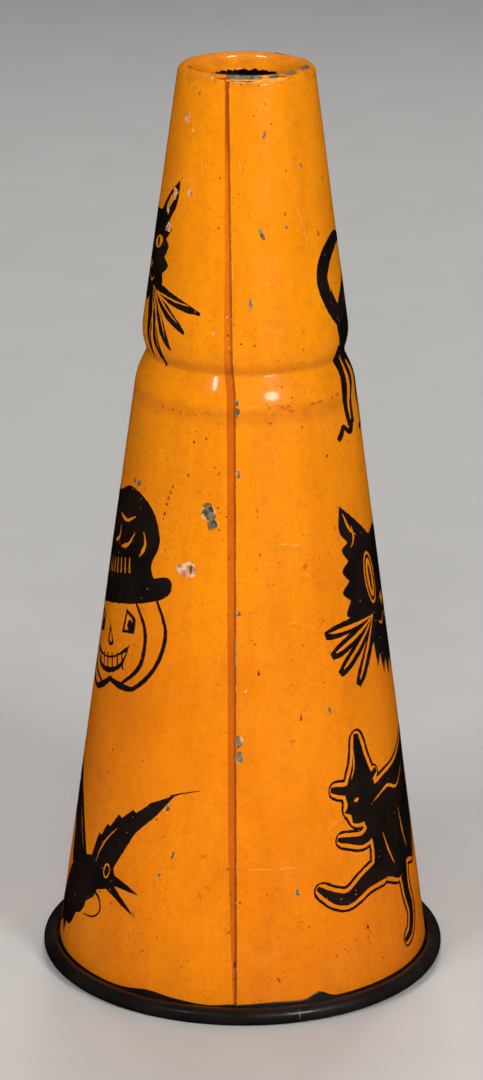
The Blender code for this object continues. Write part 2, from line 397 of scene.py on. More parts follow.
def make_enamel(look):
    """The black skin on the foot of the cone, and the one on the rolled bead."""
    count = ENAMEL_COLUMNS
    azimuths = [math.tau * i / count - math.pi for i in range(count)]
    foot = CURL[0].y - 0.3
    cone_rows = []
    for share in (0.0, 0.1, 0.35, 0.65, 1.0):
        row = []
        for azimuth in azimuths:
            z = enamel_edge(azimuth) * (1 - share) + foot * share
            radius = cone_radius(z) + ENAMEL + lap_lift(azimuth, z) * min(1.0, 4 - 4 * share)
            row.append(polar(radius, azimuth, z))
        cone_rows.append(row)
    bead = curl_profile(CURL_RADIUS, steps=(6, 24))
    bead_rows = []
    for point in reversed(bead):
        bead_rows.append([polar(point.x, azimuth, max(0.0, point.y)) for azimuth in azimuths])
    points = []
    faces = []
    for rows in (cone_rows, bead_rows):
        for k, row in enumerate(rows):
            start = len(points)
            points += row
            if k + 1 < len(rows):
                for i in range(count):
                    j = (i + 1) % count
                    faces.append((start + i, start + count + i, start + count + j, start + j))
    enamel = new_object("bell_bead_enamel", points, faces, [look])
    add_thickness(enamel, ENAMEL * 1.5)
    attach(enamel, "horn")


# ---------------------------------------------------------------- flat drawing


def smooth_path(points, closed, pitch=0.45):
    """Points along a smooth path. A point with a third value is a sharp corner."""
    places = [Vector(p[:2]) for p in points]
    sharp = [len(p) > 2 for p in points]
    count = len(points)
    found = []
    for i in range(count if closed else count - 1):
        j = (i + 1) % count
        before = places[i - 1] if closed or i > 0 else places[i]
        after = places[(j + 1) % count] if closed or j + 1 < count else places[j]
        leg = places[j] - places[i]
        leave = leg if sharp[i] else (places[j] - before) / 2
        arrive = leg if sharp[j] else (after - places[i]) / 2
        steps = max(2, math.ceil(leg.length / pitch))
        for k in range(steps):
            t = k / steps
            found.append(
                places[i] * (2 * t**3 - 3 * t**2 + 1)
                + leave * (t**3 - 2 * t**2 + t)
                + places[j] * (3 * t**2 - 2 * t**3)
                + arrive * (t**3 - t**2)
            )
    if not closed:
        found.append(places[-1])
    return np.array([tuple(p) for p in found])


def blob(points, sign=INK):
    return (sign, smooth_path(points, True))


def stroke(points, widths, sign=INK):
    """A tapered line. The widths are spread evenly along it."""
    path = smooth_path(points, False)
    along = np.linspace(0, 1, len(path))
    width = np.interp(along, np.linspace(0, 1, len(widths)), widths)
    run = np.gradient(path, axis=0)
    run /= np.maximum(1e-9, np.linalg.norm(run, axis=1))[:, None]
    side = np.stack([-run[:, 1], run[:, 0]], axis=1) * width[:, None] / 2
    return (sign, np.concatenate([path - side, (path + side)[::-1]]))


def oval(x, y, across, up, turn=0.0, sign=INK):
    """A filled oval, from its centre and its two half sizes."""
    steps = max(12, round(4 * (across + up)))
    angles = np.linspace(0, math.tau, steps, endpoint=False)
    flat = np.stack([across * np.cos(angles), up * np.sin(angles)], axis=1)
    return (sign, turned(flat, turn) + (x, y))


def turned(points, degrees):
    c = math.cos(math.radians(degrees))
    s = math.sin(math.radians(degrees))
    return points @ np.array([[c, s], [-s, c]])


def mirrored(points):
    """A half outline, top to bottom on its right side, and its mirror image."""
    return points + [(-p[0], *p[1:]) for p in reversed(points) if p[0] != 0]


def moved(shapes, turn=0.0, scale=1.0, by=(0.0, 0.0)):
    return [(sign, turned(points * scale, turn) + by) for sign, points in shapes]


def flipped(shapes):
    return [(sign, points * (-1, 1)) for sign, points in shapes]


def both_sides(shapes):
    return shapes + flipped(shapes)


def cuts(*lines):
    """Tapered gaps, each from its points and its widths."""
    return [stroke(points, widths, GAP) for points, widths in lines]


def grown(shapes, distance, sign):
    """The same shapes with their outlines moved out by a distance."""
    found = []
    for _, points in shapes:
        run = np.roll(points, -1, axis=0) - np.roll(points, 1, axis=0)
        run /= np.maximum(1e-9, np.linalg.norm(run, axis=1))[:, None]
        x, y = points.T
        area = np.sum(x * np.roll(y, -1) - np.roll(x, -1) * y)
        side = np.stack([run[:, 1], -run[:, 0]], axis=1) * math.copysign(distance, area)
        outline = points + side
        for _ in range(4):
            outline = (np.roll(outline, 1, axis=0) + 2 * outline + np.roll(outline, -1, axis=0)) / 4
        found.append((sign, outline))
    return found


def roughened(points, depth, seed):
    """The slightly broken outline that printing on tin leaves."""
    ends = np.roll(points, -1, axis=0)
    found = []
    for a, b in zip(points, ends):
        steps = max(1, round(np.linalg.norm(b - a) / 0.4))
        found += [a + (b - a) * i / steps for i in range(steps)]
    shifts = [noise.noise_vector(Vector((p[0] * 1.7, p[1] * 1.7, seed))) for p in found]
    return np.array(found) + np.array([tuple(s)[:2] for s in shifts]) * depth


def winds_round(places, outline):
    x, y = places[:, :1], places[:, 1:]
    x0, y0 = outline.T
    x1, y1 = np.roll(outline, -1, axis=0).T
    side = (x1 - x0) * (y - y0) - (x - x0) * (y1 - y0)
    up = (y0 <= y) & (y1 > y) & (side > 0)
    down = (y0 > y) & (y1 <= y) & (side < 0)
    return up.sum(axis=1) != down.sum(axis=1)


def painted(places, shapes):
    """Whether each place ends up inked, with each shape laid over the ones before."""
    inked = np.zeros(len(places), bool)
    for sign, outline in shapes:
        inked[winds_round(places, outline)] = sign == INK
    return inked


def film(name, shapes, place, look, out, pitch=1.0, depth=0.1):
    """A thin film of ink or paint, drawn flat and laid where place(x, y, out) says."""
    shapes = [(s, roughened(p, depth, 0.37 * k)) for k, (s, p) in enumerate(shapes)]
    outline = np.concatenate([points for _, points in shapes])
    low = outline.min(axis=0)
    high = outline.max(axis=0)
    xs = np.arange(low[0], high[0], pitch)
    ys = np.arange(low[1], high[1], pitch)
    mesh_points = np.array([(x, y) for x in xs for y in ys])
    mesh_points = mesh_points[painted(mesh_points, shapes)] if len(mesh_points) else outline[:0]
    edges = []
    start = 0
    for _, points in shapes:
        count = len(points)
        edges += [(start + i, start + (i + 1) % count) for i in range(count)]
        start += count
    flat = [Vector(p) for p in np.concatenate([outline, mesh_points])]
    flat, _, triangles, *_ = geometry.delaunay_2d_cdt(flat, edges, [], 0, 1e-4)
    corners = np.array([tuple(p) for p in flat])
    triangles = np.array([t for t in triangles if len(t) == 3])
    kept = triangles[painted(corners[triangles].mean(axis=1), shapes)]
    used, kept = np.unique(kept, return_inverse=True)
    kept = kept.reshape(-1, 3)
    top = [place(*corners[i], out) for i in used]
    bottom = [place(*corners[i], ROOTED) for i in used]
    sides = {(a, b) for t in kept.tolist() for a, b in zip(t, t[1:] + t[:1])}
    count = len(used)
    faces = [tuple(t) for t in kept.tolist()]
    faces += [tuple(count + i for i in reversed(t)) for t in kept.tolist()]
    faces += [(b, a, count + a, count + b) for a, b in sides if (b, a) not in sides]
    return new_object(name, top + bottom, faces, [look], smooth_angle=50)


def on_wall(azimuth, height):
    """Where a drawing goes whose own origin is at this azimuth and height."""

    def place(x, y, out):
        z = height + y
        return wall_point(math.radians(azimuth) + x / wall_radius(z), z, out)

    return place


def on_lip(azimuth):
    """The same on the mouth's rolled lip, where y runs from its crest outwards."""
    centre_z = HEIGHT - LIP_RADIUS
    centre_r = cone_radius(centre_z) - LIP_RADIUS / cone_normal().x

    def place(x, y, out):
        round_lip = math.pi / 2 - y / LIP_RADIUS
        inner_end = math.pi / 2 + FLANGE_DIP
        reach = LIP_RADIUS + out
        bend = min(round_lip, inner_end)
        radius = centre_r + reach * math.cos(bend)
        z = centre_z + reach * math.sin(bend)
        past = max(0.0, round_lip - inner_end) * LIP_RADIUS
        radius -= past * math.cos(FLANGE_DIP)
        z -= past * math.sin(FLANGE_DIP)
        return polar(radius, math.radians(azimuth) + x / centre_r, z)

    return place


def on_bead(azimuth):
    """The same on the bell's bead, where y runs up from its outermost line."""
    centre = curl_centre()

    def place(x, y, out):
        reach = CURL_RADIUS + out
        turn = y / CURL_RADIUS
        radius = centre.x + reach * math.cos(turn)
        angle = math.radians(azimuth) + x / centre.x
        return polar(radius, angle, centre.y + reach * math.sin(turn))

    return place


# ---------------------------------------------------------------- printed pictures


def slit_eye(x, y, across, up, turn):
    return [
        oval(x, y, across, up, turn, GAP),
        oval(x, y, across * 0.28, up * 0.8, turn * 0.4),
    ]


def whisker_fan(root, tips, widths):
    """Leaf-shaped rays from one root."""
    return [stroke([root, tip], widths) for tip in tips]


def small_cat_head():
    """A black cat's head from the front, with spread whiskers."""
    head = mirrored([
        (0, 7.4), (2.4, 7.7, 1), (4.3, 10.4), (6.9, 13.2, 1), (7.0, 9.4), (5.6, 6.6, 1),
        (6.5, 5.2), (5.4, 3.5, 1), (6.4, 2.4), (5.6, 0.7, 1), (7.0, -0.6), (5.6, -2.0, 1),
        (6.0, -3.6), (4.4, -4.4, 1), (3.8, -6.2), (1.6, -6.6, 1), (0, -7.6),
    ])
    shapes = [blob(head)]
    tips = [(15.2, -6.9), (12.9, -10.3), (10.4, -13.4), (8.4, -16.4), (4.8, -15.6)]
    fan = whisker_fan((1.8, -3.6), tips, [2.0, 1.9, 1.9, 1.7, 1.2, 0.3])
    near = [(0.86 * x, 0.86 * y) for x, y in tips]
    lines = [(GAP, outline) for _, outline in whisker_fan((4.4, -4.9), near, [0.1, 0.35, 0.3, 0.1])]
    between = [((x1 + x2) * 0.46, (y1 + y2) * 0.46) for (x1, y1), (x2, y2) in zip(tips, tips[1:])]
    lines += [(GAP, outline) for _, outline in whisker_fan((3.0, -4.4), between, [0.1, 0.3, 0.5, 0.3])]
    shapes += both_sides(fan + lines)
    shapes += both_sides([
        *cuts(([(4.6, 8.6), (6.2, 11.4)], [0.9, 1.2, 0.2])),
        *slit_eye(2.8, 2.6, 1.7, 1.0, 24),
        *cuts(([(0.3, -3.0), (1.6, -3.9), (2.9, -3.1)], [0.25, 0.4, 0.15])),
    ])
    shapes.append(blob([(-1.0, -1.2, 1), (1.0, -1.2, 1), (0, -2.5, 1)], GAP))
    return shapes


def arched_cat():
    """A cat with its back up and its tail in the air, walking to the right."""
    body = [
        (-12.9, 1.2), (-11.6, 5.6), (-7.0, 9.2), (-0.8, 11.2), (5.4, 9.2), (9.6, 6.2),
        (11.6, 1.4), (8.8, -1.8), (4.6, -0.2), (-0.6, 2.4), (-5.2, 0.6), (-6.6, -3.4),
        (-10.4, -3.8),
    ]
    shapes = [
        stroke([(-10.4, 2.6), (-13.3, 5.8), (-14.7, 10.2), (-12.9, 13.8), (-8.6, 16.0), (-4.6, 15.4)],
               [3.4, 3.2, 3.1, 2.9, 2.6, 1.0]),
        blob(body),
        stroke([(-10.4, -1.0), (-11.2, -5.4), (-13.4, -9.0), (-13.4, -13.6)], [5.2, 4.2, 3.3, 2.6]),
        stroke([(-13.4, -12.8), (-14.0, -14.4), (-15.2, -14.2), (-16.2, -13.4), (-17.0, -14.2),
                (-18.2, -15.2)], [2.2, 1.3, 0.9, 0.9, 1.2, 0.9]),
        stroke([(-7.6, -0.8), (-6.0, -6.0), (-8.0, -9.6), (-6.8, -14.4), (-9.6, -15.2)],
               [4.2, 2.4, 1.6, 1.4, 0.8]),
        stroke([(8.6, -0.6), (9.0, -7.0), (8.6, -14.2), (11.8, -14.9)], [3.6, 2.2, 1.5, 1.0]),
        stroke([(6.0, 0.4), (4.6, -6.6), (5.4, -13.8), (8.0, -14.6)], [3.4, 2.0, 1.4, 0.9]),
        oval(13.2, 3.4, 3.5, 3.2, 10),
        blob([(10.4, 5.2, 1), (10.4, 9.0, 1), (13.2, 6.2, 1)]),
        blob([(13.8, 6.2, 1), (16.6, 8.4, 1), (16.2, 4.6, 1)]),
    ]
    for share in range(9):
        x = -10.0 + 2.0 * share
        y = 10.6 - 0.075 * (x + 1) ** 2
        shapes.append(stroke([(x, y - 1.2), (x + 0.2 * x / 8, y + 1.5)], [1.5, 0.2]))
    shapes += [
        *slit_eye(14.2, 4.0, 1.1, 0.8, -15),
        *cuts(
            ([(-10.0, -2.6), (-11.4, -6.4), (-13.3, -10.0), (-13.4, -12.8)], [0.2, 1.2, 1.1, 0.3]),
            ([(-13.0, 8.2), (-13.2, 10.6), (-11.8, 12.6)], [0.15, 0.5, 0.15]),
            ([(-8.2, 5.2), (-4.6, 7.6), (-1.0, 8.4)], [0.15, 0.5, 0.15]),
        ),
    ]
    for tip in ((19.0, 4.8), (19.2, 2.6), (18.6, 0.6)):
        shapes.append(stroke([(15.6, 2.6), tip], [0.35, 0.15]))
    return shapes


def pumpkin_in_hat():
    """A grinning lantern, drawn in line, under a tall black hat."""
    line = [0.4, 0.75, 0.8, 0.5]
    rind = [
        stroke([(12.8, 6.0), (14.2, 0.0), (11.4, -5.6), (6.0, -8.8), (1.0, -7.6)], line),
        stroke([(8.0, 5.6), (10.0, 0.6), (8.4, -5.0), (3.6, -7.9)], line),
        stroke([(6.4, -8.7), (3.0, -8.2), (-0.6, -7.0)], [0.5, 1.2, 0.6]),
    ]
    shapes = both_sides(rind)
    for x in (5.9, -5.6):
        rim = [(x - 1.9, 0.4, 1), (x - 0.3, 4.2, 1), (x + 1.9, 2.6), (x + 1.5, 0.2, 1)]
        shapes += [
            blob(rim),
            blob([(x + (p[0] - x) * 0.62, 1.9 + (p[1] - 1.9) * 0.68, *p[2:]) for p in rim], GAP),
            oval(x + 0.5, 1.5, 0.75, 0.95),
        ]
    nose = [(-0.4, 1.8, 1), (1.0, -1.2), (0.2, -1.9), (-1.2, -1.3)]
    shapes += [
        blob(nose),
        blob([(p[0] * 0.5 - 0.03, p[1] * 0.6 - 0.2, *p[2:]) for p in nose], GAP),
    ]
    grin = [
        (-7.6, -2.0, 1), (-3.0, -3.4), (1.6, -3.4), (6.2, -1.6, 1), (3.6, -5.2), (-1.0, -6.3), (-5.4, -5.0),
    ]
    shapes += [
        blob(grin),
        blob([(p[0] * 0.86 - 0.1, (p[1] + 4.0) * 0.56 - 4.1, *p[2:]) for p in grin], GAP),
    ]
    for x in (-4.8, -3.0, -1.2, 0.6, 2.4, 3.9):
        shapes.append(stroke([(x, -3.0), (x + 0.15, -5.6)], [0.4, 0.4]))
    crown = [
        (-12.0, 8.0, 1), (-13.6, 14.4), (-11.2, 20.8), (-6.0, 24.2), (1.0, 23.2), (7.4, 23.8),
        (12.8, 20.6), (14.4, 15.0), (12.2, 11.0), (13.0, 8.0, 1),
    ]
    brim = [
        (-16.4, 8.4), (-10.0, 8.8), (0, 9.0), (10.0, 8.8), (15.4, 9.0), (15.6, 6.4), (11.6, 5.2), (0, 5.0),
        (-12.0, 5.2), (-16.6, 6.2),
    ]
    shapes += [blob(crown), blob(brim)]
    for i in range(11):
        x = -8.0 + 1.45 * i
        shapes.append(stroke([(x, 9.9), (x + 0.1, 12.4)], [0.5, 0.3], GAP))
    creases = [
        [(-9.6, 14.2), (-8.4, 17.6), (-9.2, 20.2)], [(-4.4, 14.4), (-3.2, 16.4), (-3.8, 18.4)],
        [(0.4, 15.0), (2.6, 15.8), (3.0, 17.8)], [(3.4, 14.2), (6.2, 14.6), (8.4, 16.4)],
        [(2.6, 19.6), (5.6, 18.4), (8.8, 19.0)], [(9.4, 12.6), (11.0, 14.4), (10.8, 16.6)],
    ]
    shapes += [stroke(path, [0.15, 0.75, 0.45, 0.15], GAP) for path in creases]
    return shapes


def crow():
    """A crow flying down to the right with its beak open."""
    near_wing = [
        (-0.6, 0.6), (0.0, 3.4), (1.0, 6.0, 1), (1.6, 5.8, 1), (3.0, 8.2, 1), (3.8, 8.0, 1),
        (5.6, 10.6, 1), (6.4, 10.2, 1), (8.6, 12.2, 1), (9.4, 11.9, 1), (12.0, 14.2, 1),
        (16.2, 16.3, 1), (13.2, 12.2), (9.8, 8.6), (8.0, 5.4), (6.4, 2.6), (4.8, -0.4), (1.4, -1.4),
    ]
    far_wing = [
        (-2.4, -1.0), (-3.4, 2.6), (-6.2, 7.4), (-9.6, 11.8), (-14.4, 16.4, 1), (-13.6, 12.8, 1),
        (-14.9, 12.4, 1), (-13.2, 9.6, 1), (-14.4, 8.8, 1), (-12.4, 6.4, 1), (-13.2, 5.0, 1),
        (-10.8, 2.6, 1), (-10.0, -2.2), (-6.0, -4.6),
    ]
    body = [
        (3.6, 2.4), (6.0, 1.0), (6.2, -1.4), (4.2, -2.6), (2.2, -3.4, 1), (1.2, -5.0), (-0.8, -6.4, 1),
        (-2.0, -8.6), (-4.2, -9.8, 1), (-6.4, -12.6), (-9.0, -13.2, 1), (-9.6, -15.6, 1), (-11.6, -13.8, 1),
        (-14.4, -15.4, 1), (-13.8, -12.4, 1), (-16.8, -12.6, 1), (-13.2, -8.8), (-9.4, -3.2), (-3.6, 0.6),
    ]
    shapes = [blob(near_wing), blob(far_wing), blob(body)]
    shapes += [
        stroke([(4.4, -0.4), (8.0, -0.7), (11.7, -1.4)], [2.4, 1.3, 0.1]),
        stroke([(3.8, -1.0), (7.0, -2.6), (11.1, -5.0)], [2.4, 1.2, 0.1]),
        oval(4.2, 0.5, 0.85, 1.35, -10, GAP),
        oval(4.2, 0.5, 0.55, 1.0, -10),
        stroke([(0.8, 1.0), (2.6, 4.8), (5.6, 8.2)], [0.1, 0.35, 0.1], GAP),
        stroke([(-4.2, 1.2), (-6.8, 5.6), (-9.4, 9.0)], [0.1, 0.35, 0.1], GAP),
        stroke([(15.4, 16.0), (17.8, 16.9), (20.2, 17.6)], [0.35, 0.2, 0.1]),
        stroke([(1.0, -3.8), (3.0, -4.6), (3.6, -6.6), (1.8, -8.2), (-1.2, -8.8)], [0.5, 0.35, 0.3, 0.2]),
    ]
    return shapes


def large_cat_face():
    """A shaggy cat's face with tall slit eyes and outlined whiskers."""
    face = mirrored([
        (0, 10.4), (3.2, 9.8, 1), (6.4, 12.4), (11.4, 16.6, 1), (12.2, 12.6), (10.6, 10.4, 1),
        (12.2, 9.4), (11.0, 7.4, 1), (12.8, 6.0), (11.4, 4.2, 1), (13.4, 2.6), (11.8, 1.0, 1),
        (13.2, -1.2), (10.8, -2.2, 1), (10.6, -5.2, 1), (8.8, -4.8, 1), (8.6, -8.8, 1), (6.9, -7.4, 1),
        (6.4, -11.8, 1), (4.9, -9.8, 1), (4.0, -13.6, 1), (2.6, -11.2, 1), (1.6, -14.8, 1), (0, -12.2, 1),
    ])
    shapes = [blob(face)]
    tips = [(18.4, -3.4), (17.8, -7.0), (16.6, -10.2), (12.9, -13.0)]
    fan = whisker_fan((4.2, -2.0), tips, [0.9, 1.6, 2.0, 2.3, 2.2, 1.2])
    near = [(0.93 * x + 0.2, 0.93 * y) for x, y in tips]
    hollows = whisker_fan((5.8, -3.0), near, [0.15, 0.35, 0.55, 0.7, 0.65, 0.25])
    inner = [(GAP, outline) for _, outline in hollows]
    shapes += both_sides(fan + inner)
    rings = ((2.0, 4.5, GAP), (1.6, 4.0, INK), (1.2, 3.4, GAP), (0.4, 2.4, INK))
    shapes += both_sides([
        *[oval(5.0, 3.0, across, up, -6, sign) for across, up, sign in rings],
        *cuts(
            ([(8.0, 11.0), (9.6, 12.4), (10.8, 15.2)], [0.15, 0.6, 0.15]),
            ([(9.8, 9.4), (8.8, 10.6), (9.0, 12.8)], [0.15, 0.5, 0.15]),
            ([(0.2, -4.4), (2.0, -5.6), (3.6, -4.8)], [0.3, 0.5, 0.2]),
        ),
    ])
    shapes.append(blob([(-1.5, -1.4, 1), (0, -1.0), (1.5, -1.4, 1), (0, -3.6, 1)], GAP))
    return shapes


def striding_witch():
    """A cloaked figure in a pointed hat, striding left, with a line drawn round it."""
    parts = [
        blob([(-9.6, 10.0, 1), (-7.6, 14.0), (-6.6, 18.6, 1), (-5.6, 18.4, 1), (-4.6, 14.4),
              (-3.2, 10.6, 1)]),
        stroke([(-12.6, 10.6), (-9.2, 9.8), (-5.0, 10.2), (-2.0, 11.4)], [0.9, 1.7, 1.7, 0.8]),
        blob([(-9.4, 10.0), (-9.6, 7.4), (-10.4, 6.2, 1), (-9.2, 5.6), (-9.0, 4.2, 1), (-7.0, 3.8),
              (-4.2, 5.0), (-3.2, 10.2)]),
        blob([(-4.8, 8.0), (-0.6, 9.6), (5.0, 10.6), (12.6, 13.6, 1), (11.4, 6.0), (12.0, -2.0),
              (9.4, -7.8, 1), (5.6, -6.8), (1.6, -8.6, 1), (-2.0, -7.0), (-5.6, -6.4, 1), (-4.8, -0.6),
              (-6.4, 4.0)]),
        stroke([(-2.6, 3.4), (-6.8, 1.0), (-10.2, 1.6), (-12.4, 2.2)], [3.0, 2.0, 1.3, 0.7]),
        stroke([(-2.4, -5.0), (-7.4, -6.0), (-11.4, -7.8), (-14.2, -7.2), (-17.2, -5.0)],
               [4.4, 3.0, 2.2, 2.0, 0.7]),
        stroke([(3.6, -6.0), (4.0, -11.4), (5.2, -15.2), (4.0, -18.4), (1.4, -19.4)],
               [4.0, 2.2, 1.9, 1.7, 0.8]),
    ]
    shapes = grown(parts, 1.15, INK) + grown(parts, 0.68, GAP) + parts
    return shapes + [
        *cuts(
            ([(-3.6, 6.4), (0.8, 7.6), (4.6, 6.4), (8.6, 8.8)], [0.15, 0.55, 0.5, 0.15]),
            ([(-2.0, 0.6), (-1.0, -2.4), (0.6, -5.6)], [0.15, 0.45, 0.15]),
            ([(4.2, 2.8), (5.0, -1.4), (6.4, -5.0)], [0.15, 0.5, 0.15]),
        ),
        oval(-7.6, 7.8, 0.55, 0.32, 10, GAP),
        *cuts(([(-7.0, 16.0), (-7.4, 13.2), (-8.2, 11.4)], [0.1, 0.35, 0.15])),
    ]


def bat():
    """A bat with its wings spread, seen from the front."""
    half = [
        (0, 2.6), (0.9, 2.8, 1), (1.4, 4.6, 1), (2.2, 2.2), (4.4, 3.4), (8.4, 6.2), (12.8, 6.4, 1),
        (16.0, 2.0), (17.6, -3.2, 1), (14.6, -1.4), (12.4, -3.0, 1), (10.2, -0.8), (7.4, -3.2, 1),
        (5.2, -1.4), (2.4, -3.6, 1), (1.2, -2.8), (0, -5.4),
    ]
    shapes = [blob(mirrored(half))]
    return shapes + both_sides([
        oval(0.9, 1.2, 0.4, 0.3, 20, GAP),
        *cuts(
            ([(3.0, 1.6), (8.0, 3.6), (12.2, 4.6)], [0.1, 0.4, 0.1]),
            ([(3.4, 0.4), (6.4, 0.2), (10.8, 1.6)], [0.1, 0.35, 0.1]),
        ),
    ])


def star(x, y, size):
    angles = [math.radians(90 + 36 * i) for i in range(10)]
    reach = [size if i % 2 == 0 else size * 0.42 for i in range(10)]
    return blob([(x + r * math.cos(a), y + r * math.sin(a), 1) for r, a in zip(reach, angles)])


def moon_and_stars():
    shapes = [oval(0, 0, 8.6, 8.6), oval(4.4, 1.8, 7.4, 7.4, 0, GAP)]
    shapes += [star(6.2, 3.4, 2.4), star(13.4, -3.6, 1.9), star(9.2, -9.0, 1.5), star(12.6, 8.4, 1.6)]
    return shapes


def make_prints(look):
    prints = {
        "print_small_cat_head": (small_cat_head(), -172, 120.0),
        "print_arched_cat": (arched_cat(), 19, 107.0),
        "print_pumpkin": (moved(pumpkin_in_hat(), turn=15), -158, 58.3),
        "print_crow": (crow(), -150, 20.0),
        "print_large_cat_face": (large_cat_face(), -9, 65.0),
        "print_witch": (striding_witch(), -30, 26.0),
        "print_bat": (bat(), 96, 67.0),
        "print_small_bat": (moved(bat(), turn=-12, scale=0.5), 92, 133.0),
        "print_moon": (moved(moon_and_stars(), turn=8), 92, 27.0),
    }
    for name, (shapes, azimuth, height) in prints.items():
        ink = film(name, shapes, on_wall(azimuth, height), look, INK_FILM)
        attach(ink, "horn")


# ---------------------------------------------------------------- wear


def chip(x, y, size, seed, stretch=1.0, turn=0.0):
    """An irregular flake, from its centre and about half its size."""
    corners = []
    for i in range(9):
        angle = math.tau * i / 9
        reach = size * (1 + 0.55 * noise.noise(Vector((i * 0.9, seed * 1.3, 0.5))))
        corners.append((reach * math.cos(angle), reach * stretch * math.sin(angle)))
    sign, points = blob(corners)
    return (sign, turned(points, turn) + (x, y))


# Azimuth, height, half size, stretch, turn.
BARE_CHIPS = (
    (-106.4, 82.3, 0.95, 1.25, 10), (-104.5, 80.5, 0.75, 1.1, 0), (-113.2, 73.0, 0.4, 1.7, 0),
    (-93.0, 66.6, 0.5, 1.0, 0), (-91.6, 46.0, 0.4, 2.4, 0), (-91.5, 43.5, 0.5, 1.6, 0),
    (-93.8, 99.8, 0.3, 1.3, 0), (-93.7, 98.3, 0.35, 1.6, 0), (-92.6, 88.6, 0.2, 3.0, 0),
    (-80.2, 126.1, 0.3, 2.8, 15), (-76.6, 141.1, 0.22, 2.2, -15), (-47.6, 135.8, 0.25, 1.3, 0),
    (-87.0, 115.3, 0.26, 2.8, 0), (-148.7, 84.4, 0.5, 0.9, 0), (-153.0, 84.3, 0.35, 1.0, 0),
    (-55.8, 49.5, 0.3, 1.7, 0), (-117.0, 33.9, 0.25, 2.2, -15), (-114.2, 26.4, 0.2, 2.4, -20),
    (-118.8, 22.7, 0.25, 1.3, 20), (-72.1, 20.8, 0.3, 2.0, 20), (-63.0, 126.8, 0.25, 0.9, 40),
    (40.0, 75.0, 0.6, 1.4, 30), (75.0, 112.0, 0.4, 1.8, 0), (140.0, 60.0, 0.7, 1.1, 15),
    (120.0, 88.0, 0.4, 2.0, -20), (60.0, 18.0, 0.5, 1.2, 0), (160.0, 34.0, 0.4, 1.7, 10),
)
PRIMER_CHIPS = (
    (-115.4, 72.8, 1.45, 0.85, 0), (-141.3, 143.0, 0.45, 1.9, 0), (-134.0, 141.2, 0.2, 1.0, 0),
    (-130.7, 131.5, 0.5, 1.0, 0), (-146.0, 131.0, 0.6, 1.6, 10), (-152.4, 128.2, 0.55, 1.7, 5),
    (-149.1, 125.4, 0.75, 1.0, 20), (-100.5, 113.1, 0.2, 1.0, 0), (-108.3, 110.4, 0.2, 1.3, 0),
    (-89.3, 54.2, 0.2, 1.2, 0), (100.0, 96.0, 0.6, 1.2, 10), (55.0, 62.0, 0.5, 1.3, 0),
    (150.0, 118.0, 0.5, 1.4, 0),
)
BROWN_SPOTS = (
    (-130.2, 147.0, 0.25, 1.4, 0), (-71.1, 142.8, 0.25, 0.8, 20), (-108.3, 134.5, 0.2, 1.0, 0),
    (-94.9, 132.3, 0.22, 0.8, 0), (-60.9, 135.4, 0.2, 1.0, 0), (-63.5, 128.9, 0.2, 2.4, 10),
    (-36.9, 124.9, 0.18, 3.4, 20), (-24.0, 133.0, 0.3, 0.8, 0), (-35.2, 99.1, 0.25, 0.8, 0),
    (-115.7, 93.2, 0.3, 1.2, 0), (-46.5, 90.1, 0.35, 1.0, 0), (-102.3, 88.6, 0.15, 3.2, -30),
    (-117.5, 87.8, 0.35, 0.9, 0), (-125.4, 85.6, 0.25, 1.6, -20), (-126.3, 84.6, 0.3, 1.0, 0),
    (-127.4, 83.6, 0.2, 2.0, -20), (-128.0, 82.6, 0.35, 0.9, 0), (-128.8, 81.0, 0.3, 1.2, 0),
    (-129.4, 80.2, 0.22, 1.0, 0), (-96.6, 75.4, 0.2, 1.6, 0), (-83.4, 76.0, 0.28, 0.7, 0),
    (-84.2, 57.0, 0.3, 1.8, 10), (-67.9, 49.2, 0.3, 2.4, -10), (-66.8, 50.4, 0.2, 1.0, 0),
    (-46.2, 12.4, 0.35, 1.3, 0), (-78.8, 6.7, 0.25, 2.0, 30), (-92.4, 9.3, 0.34, 2.2, 0),
    (-92.6, 7.2, 0.2, 1.6, 0), (-109.3, 8.4, 0.2, 1.0, 0), (-107.4, 9.6, 0.16, 1.0, 0),
    (-77.2, 96.6, 0.2, 1.0, 0), (-60.3, 95.4, 0.24, 0.9, 0), (30.0, 90.0, 0.3, 1.2, 0),
    (85.0, 50.0, 0.35, 1.0, 0), (130.0, 24.0, 0.3, 1.4, 0), (165.0, 92.0, 0.3, 1.0, 0),
)
